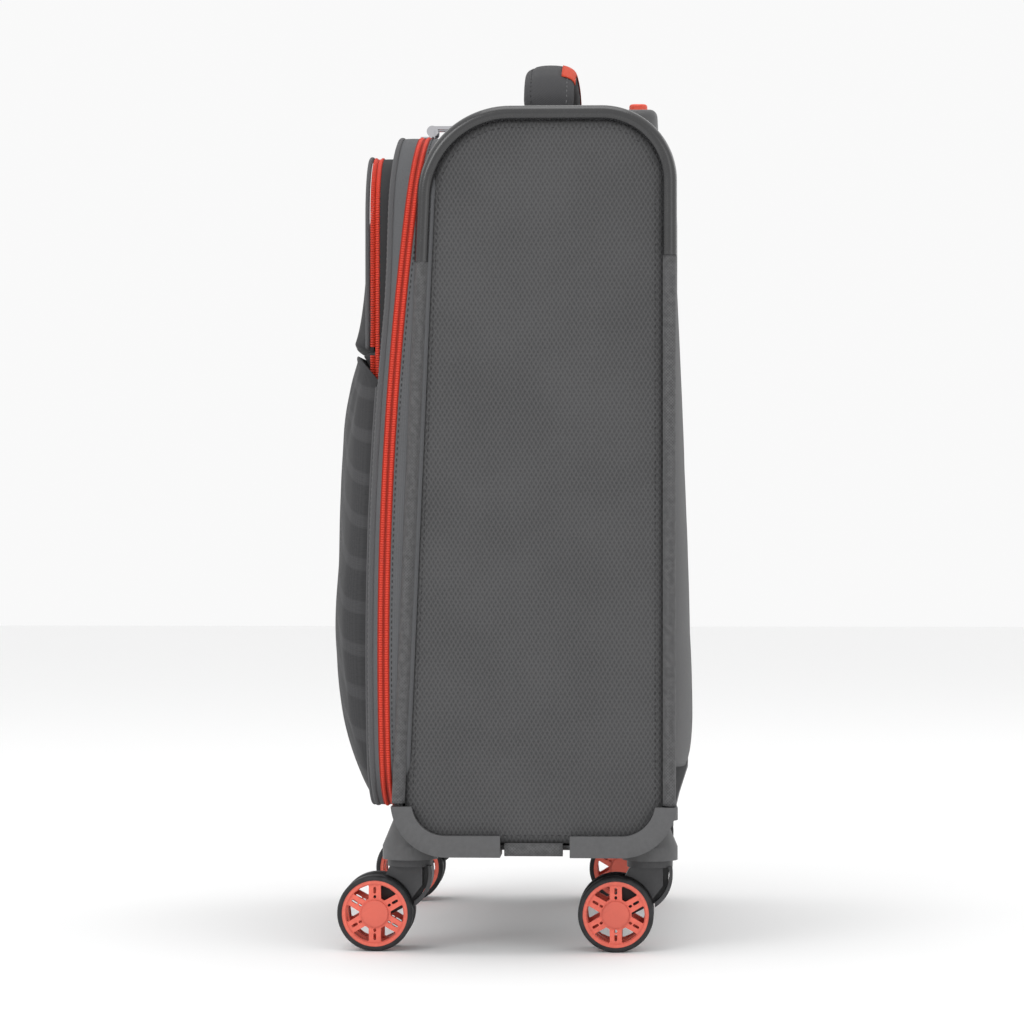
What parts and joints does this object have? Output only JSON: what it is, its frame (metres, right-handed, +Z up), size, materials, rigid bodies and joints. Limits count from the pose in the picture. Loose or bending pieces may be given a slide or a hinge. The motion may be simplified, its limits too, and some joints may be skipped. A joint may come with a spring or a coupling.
{
  "type": "softside upright suitcase",
  "caption": "Softside upright cabin suitcase with a side-hinged zip lid, front pockets, telescopic trolley handle, top carry handle and swivelling twin-wheel casters.",
  "frame": {"origin": "on the floor under the middle of the suitcase's bounding box", "axes": "+Z up; the lid and pockets face -Y and the trolley is at +Y; +X is the free side of the lid"},
  "size_m": [0.356, 0.218, 0.553],
  "materials": {
    "side_fabric": "grey polyester with a small diamond weave",
    "back_fabric": "plain grey polyester",
    "base_board": "dark coated polyester",
    "piping_textile": "textile-covered piping",
    "trim_gloss": "satin extruded trim",
    "gusset_fabric": "grey polyester",
    "front_fabric": "dark grey polyester, tone on tone chevrons",
    "binding": "herringbone binding tape",
    "zip_red": "red nylon coil zip",
    "lining": "thin grey lining",
    "strap_webbing": "woven webbing and moulded clips",
    "handle_fabric": "padded grey fabric with a red insert",
    "moulded_plastic": "fine satin grain",
    "fork_plastic": "smooth moulded nylon",
    "button_red": "satin",
    "rim_red": "satin moulded",
    "tyre_black": "soft black tread",
    "tube_aluminium": "anodised",
    "steel": "plated",
    "chrome": "polished",
    "badge_plastic": "plain pale badge"
  },
  "bodies": {
    "case": {"side_panels": "side_fabric", "top_panel": "side_fabric", "back_panel": "back_fabric", "bottom_panel": "base_board", "piping": "piping_textile", "corner_trim": "trim_gloss", "front_frame": "gusset_fabric", "case_zip_row": "zip_red", "back_lining": "lining", "packing_straps": "strap_webbing", "carry_handle": "handle_fabric", "trolley_bezel": "moulded_plastic", "fixed_tubes": "tube_aluminium", "caster_housing_front_left": "moulded_plastic", "caster_housing_front_right": "moulded_plastic", "caster_housing_rear_left": "moulded_plastic", "caster_housing_rear_right": "moulded_plastic"},
    "lid": {"lid_gusset": "gusset_fabric", "lid_panel": "front_fabric", "lid_binding": "binding", "lid_zip_row": "zip_red", "lower_pocket": "front_fabric", "pocket_gusset": "front_fabric"},
    "pocket_flap": {"pocket_flap": "front_fabric", "badge": "badge_plastic"},
    "trolley_middle": {"middle_tubes": "tube_aluminium"},
    "trolley_top": {"top_tubes": "tube_aluminium", "trolley_grip": "moulded_plastic"},
    "button": {"trolley_button": "button_red", "release_rods": "steel"},
    "slider_left": {"slider_left": "chrome"},
    "slider_right": {"slider_right": "chrome"},
    "pull_left": {"pull_left": "chrome"},
    "pull_right": {"pull_right": "chrome"},
    "pocket_slider": {"pocket_slider": "chrome"},
    "pocket_pull": {"pocket_pull": "chrome"},
    "swivel_front_left": {"fork_front_left": "fork_plastic", "axle_front_left": "steel"},
    "wheel_front_left_a": {"rim_front_left_a": "rim_red", "tyre_front_left_a": "tyre_black"},
    "wheel_front_left_b": {"rim_front_left_b": "rim_red", "tyre_front_left_b": "tyre_black"},
    "swivel_front_right": {"fork_front_right": "fork_plastic", "axle_front_right": "steel"},
    "wheel_front_right_a": {"rim_front_right_a": "rim_red", "tyre_front_right_a": "tyre_black"},
    "wheel_front_right_b": {"rim_front_right_b": "rim_red", "tyre_front_right_b": "tyre_black"},
    "swivel_rear_left": {"fork_rear_left": "fork_plastic", "axle_rear_left": "steel"},
    "wheel_rear_left_a": {"rim_rear_left_a": "rim_red", "tyre_rear_left_a": "tyre_black"},
    "wheel_rear_left_b": {"rim_rear_left_b": "rim_red", "tyre_rear_left_b": "tyre_black"},
    "swivel_rear_right": {"fork_rear_right": "fork_plastic", "axle_rear_right": "steel"},
    "wheel_rear_right_a": {"rim_rear_right_a": "rim_red", "tyre_rear_right_a": "tyre_black"},
    "wheel_rear_right_b": {"rim_rear_right_b": "rim_red", "tyre_rear_right_b": "tyre_black"}
  },
  "joints": [
    {"name": "lid_hinge", "type": "hinge", "parent": "case", "child": "lid", "pos_m": [-0.177, -0.0719, 0.092], "axis": [0, -0.0519, -0.9987], "range_deg": [0, 165]},
    {"name": "pocket_flap_hinge", "type": "hinge", "parent": "lid", "child": "pocket_flap", "pos_m": [0, -0.0818, 0.366], "axis": [1, 0, 0], "range_deg": [0, 35]},
    {"name": "left_slider_travel", "type": "slide", "parent": "case", "child": "slider_left", "axis": [1, 0, 0], "range_m": [-0.215, 0]},
    {"name": "right_slider_travel", "type": "slide", "parent": "case", "child": "slider_right", "axis": [1, 0, 0], "range_m": [0, 0.008]},
    {"name": "left_pull_swing", "type": "hinge", "parent": "slider_left", "child": "pull_left", "pos_m": [0.1, -0.0492, 0.5044], "axis": [1, 0, 0], "range_deg": [0, 140]},
    {"name": "right_pull_swing", "type": "hinge", "parent": "slider_right", "child": "pull_right", "pos_m": [0.114, -0.0492, 0.5044], "axis": [1, 0, 0], "range_deg": [0, 140]},
    {"name": "pocket_slider_travel", "type": "slide", "parent": "lid", "child": "pocket_slider", "axis": [0, 0, 1], "range_m": [0, 0.045]},
    {"name": "pocket_pull_swing", "type": "hinge", "parent": "pocket_slider", "child": "pocket_pull", "pos_m": [-0.1664, -0.081, 0.382], "axis": [0, 1, 0], "range_deg": [0, 140]},
    {"name": "trolley_lower_stage", "type": "slide", "parent": "case", "child": "trolley_middle", "axis": [0, 0, 1], "range_m": [0, 0.235]},
    {"name": "trolley_upper_stage", "type": "slide", "parent": "trolley_middle", "child": "trolley_top", "axis": [0, 0, 1], "range_m": [0, 0.235]},
    {"name": "trolley_button_press", "type": "slide", "parent": "trolley_top", "child": "button", "axis": [0, 0, -1], "range_m": [0, 0.003], "stiffness_N_per_m": 600, "springref_m": -0.002},
    {"name": "swivel_turn_front_left", "type": "hinge", "parent": "case", "child": "swivel_front_left", "pos_m": [-0.14, -0.061, 0.055], "axis": [0, 0, 1], "continuous": true},
    {"name": "wheel_spin_front_left_a", "type": "hinge", "parent": "swivel_front_left", "child": "wheel_front_left_a", "pos_m": [-0.1512, -0.0816, 0.0231], "axis": [1, 0, 0], "continuous": true},
    {"name": "wheel_spin_front_left_b", "type": "hinge", "parent": "swivel_front_left", "child": "wheel_front_left_b", "pos_m": [-0.1288, -0.0816, 0.0231], "axis": [1, 0, 0], "continuous": true},
    {"name": "swivel_turn_front_right", "type": "hinge", "parent": "case", "child": "swivel_front_right", "pos_m": [0.14, -0.061, 0.055], "axis": [0, 0, 1], "continuous": true},
    {"name": "wheel_spin_front_right_a", "type": "hinge", "parent": "swivel_front_right", "child": "wheel_front_right_a", "pos_m": [0.1288, -0.0816, 0.0231], "axis": [1, 0, 0], "continuous": true},
    {"name": "wheel_spin_front_right_b", "type": "hinge", "parent": "swivel_front_right", "child": "wheel_front_right_b", "pos_m": [0.1512, -0.0816, 0.0231], "axis": [1, 0, 0], "continuous": true},
    {"name": "swivel_turn_rear_left", "type": "hinge", "parent": "case", "child": "swivel_rear_left", "pos_m": [-0.14, 0.086, 0.055], "axis": [0, 0, 1], "continuous": true},
    {"name": "wheel_spin_rear_left_a", "type": "hinge", "parent": "swivel_rear_left", "child": "wheel_rear_left_a", "pos_m": [-0.1512, 0.0654, 0.0231], "axis": [1, 0, 0], "continuous": true},
    {"name": "wheel_spin_rear_left_b", "type": "hinge", "parent": "swivel_rear_left", "child": "wheel_rear_left_b", "pos_m": [-0.1288, 0.0654, 0.0231], "axis": [1, 0, 0], "continuous": true},
    {"name": "swivel_turn_rear_right", "type": "hinge", "parent": "case", "child": "swivel_rear_right", "pos_m": [0.14, 0.086, 0.055], "axis": [0, 0, 1], "continuous": true},
    {"name": "wheel_spin_rear_right_a", "type": "hinge", "parent": "swivel_rear_right", "child": "wheel_rear_right_a", "pos_m": [0.1288, 0.0654, 0.0231], "axis": [1, 0, 0], "continuous": true},
    {"name": "wheel_spin_rear_right_b", "type": "hinge", "parent": "swivel_rear_right", "child": "wheel_rear_right_b", "pos_m": [0.1512, 0.0654, 0.0231], "axis": [1, 0, 0], "continuous": true}
  ]
}
